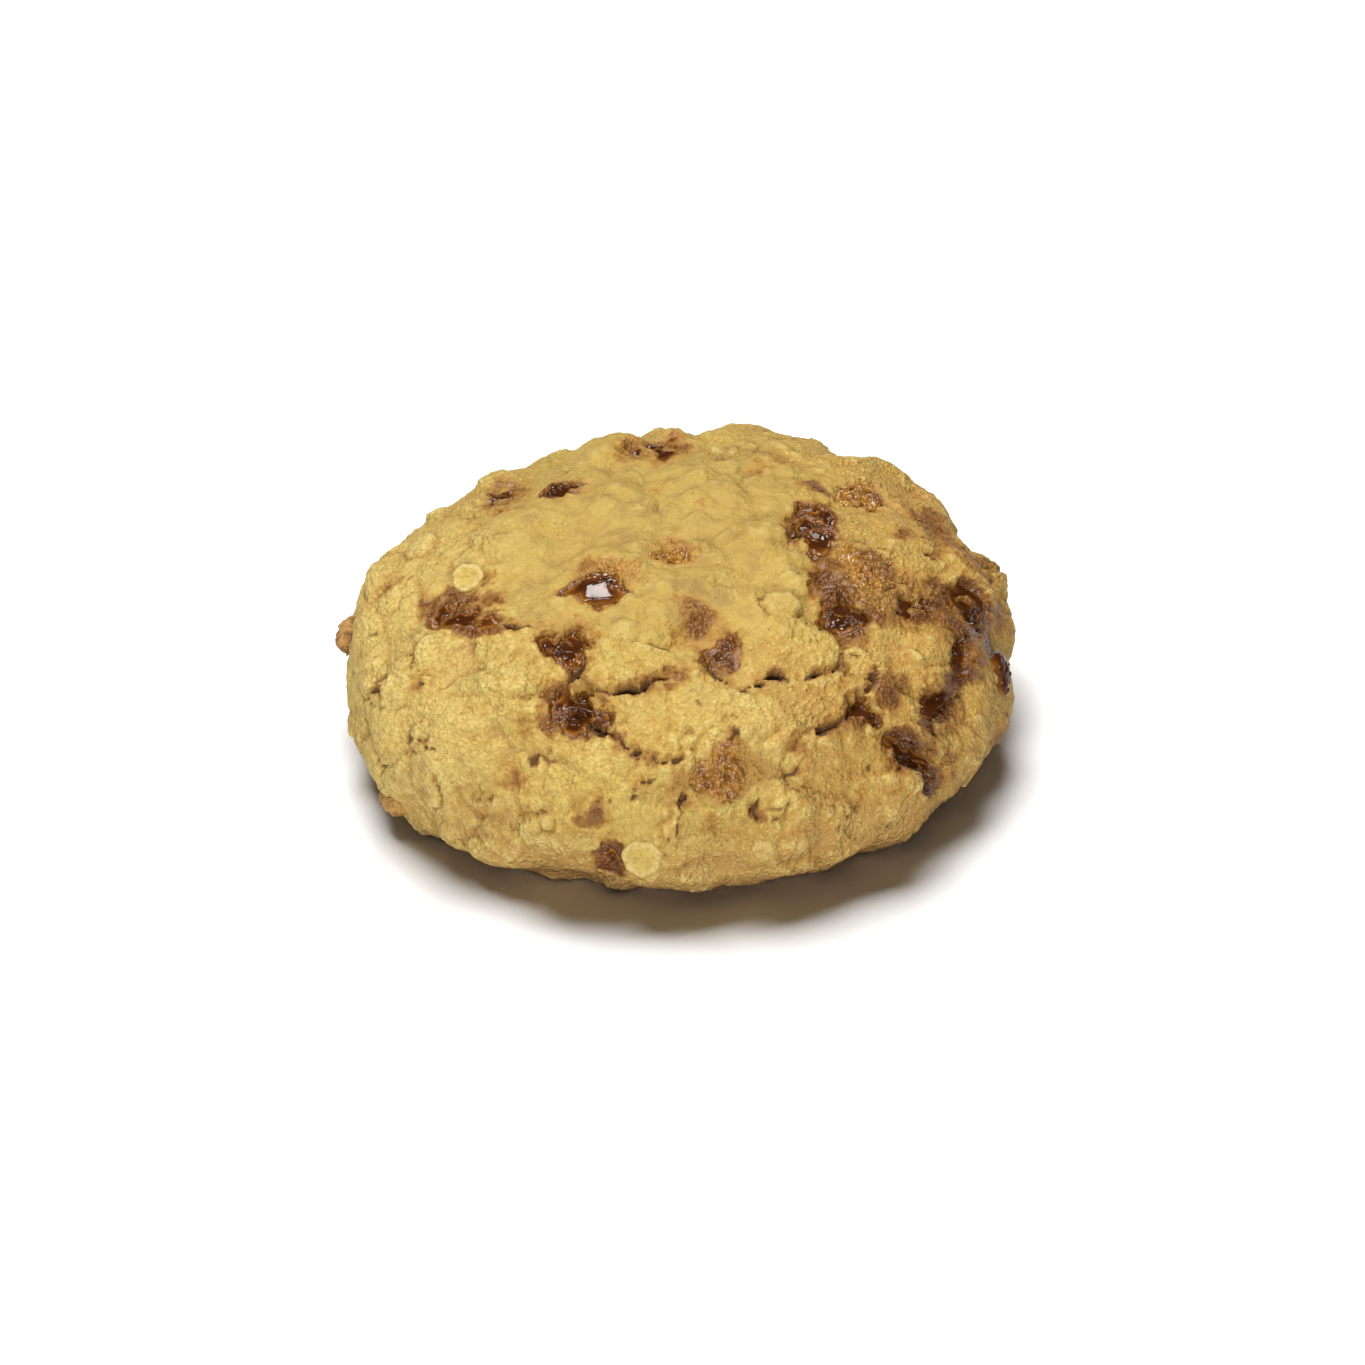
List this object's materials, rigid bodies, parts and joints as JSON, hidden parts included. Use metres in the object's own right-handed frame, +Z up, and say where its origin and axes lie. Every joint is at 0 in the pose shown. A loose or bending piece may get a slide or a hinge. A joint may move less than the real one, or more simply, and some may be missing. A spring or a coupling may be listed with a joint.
{
  "type": "salted caramel oat cookie",
  "caption": "Thick domed round oat cookie with a lumpy golden crust, cracks, and pools and patches of melted caramel; a snack to set on a plate or tray.",
  "frame": {"origin": "middle of the flat base, on the surface that the cookie lies on", "axes": "+Z up out of the dome; +Y away from the side that faces the viewer, the one with the long cracks and the round oat near the foot; +X to the right as seen from that side"},
  "size_m": [0.0871, 0.0822, 0.0321],
  "materials": {
    "crust": "baked dough, matt, lumpy, golden with browner patches",
    "caramel": "melted caramel, glossy, dark brown, slightly see-through",
    "toffee": "crusted caramel, granular, orange-brown, with small glints"
  },
  "bodies": {
    "root": {"dough": "crust", "caramel_back_left": "caramel", "caramel_back_rim": "caramel", "caramel_crown": "caramel", "caramel_crown_front": "caramel", "caramel_crown_left": "caramel", "caramel_crown_right": "caramel", "caramel_foot_tab": "caramel", "caramel_fork": "caramel", "caramel_front_foot": "caramel", "caramel_front_left": "caramel", "caramel_front_split": "caramel", "caramel_left": "caramel", "caramel_left_inner": "caramel", "caramel_left_tab": "caramel", "caramel_rear_left": "caramel", "caramel_rear_middle": "caramel", "caramel_rear_right": "caramel", "caramel_right_bead": "caramel", "caramel_right_front": "caramel", "caramel_right_inner": "caramel", "caramel_right_middle": "caramel", "caramel_right_outer": "caramel", "caramel_right_seam": "caramel", "toffee_back_right": "toffee", "toffee_crown": "toffee", "toffee_front": "toffee", "toffee_rear": "toffee", "toffee_right": "toffee"}
  },
  "joints": []
}
